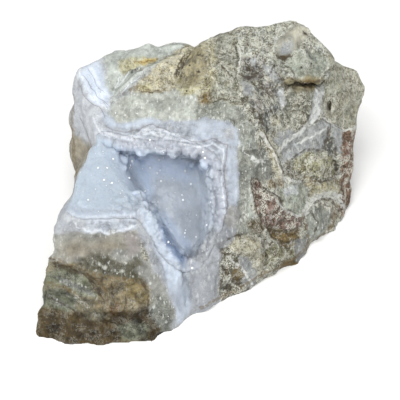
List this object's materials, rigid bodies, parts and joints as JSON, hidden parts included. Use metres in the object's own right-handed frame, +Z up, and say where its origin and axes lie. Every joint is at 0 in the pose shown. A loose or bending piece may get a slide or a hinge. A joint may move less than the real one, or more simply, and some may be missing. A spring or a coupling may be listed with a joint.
{
  "type": "rough blue chalcedony stone",
  "caption": "Broken lump of host rock with an open pocket lined by a crust of pale blue chalcedony, resting on a flat base.",
  "frame": {"origin": "middle of the box on the surface that the stone rests on, under the rock", "axes": "+X to the right across the open pocket, the longest extent; +Y away from the viewer; +Z up, the shortest extent"},
  "size_m": [0.0916, 0.0894, 0.0554],
  "materials": {
    "weathered_rock": "rough broken face of grey, olive and tan rock with red fragments, pale quartz and white veins",
    "blue_chalcedony": "milky translucent pale blue, with a sparkling skin of tiny crystals"
  },
  "bodies": {
    "root": {"host_rock": "weathered_rock", "crystal_crust": "blue_chalcedony"}
  },
  "joints": []
}
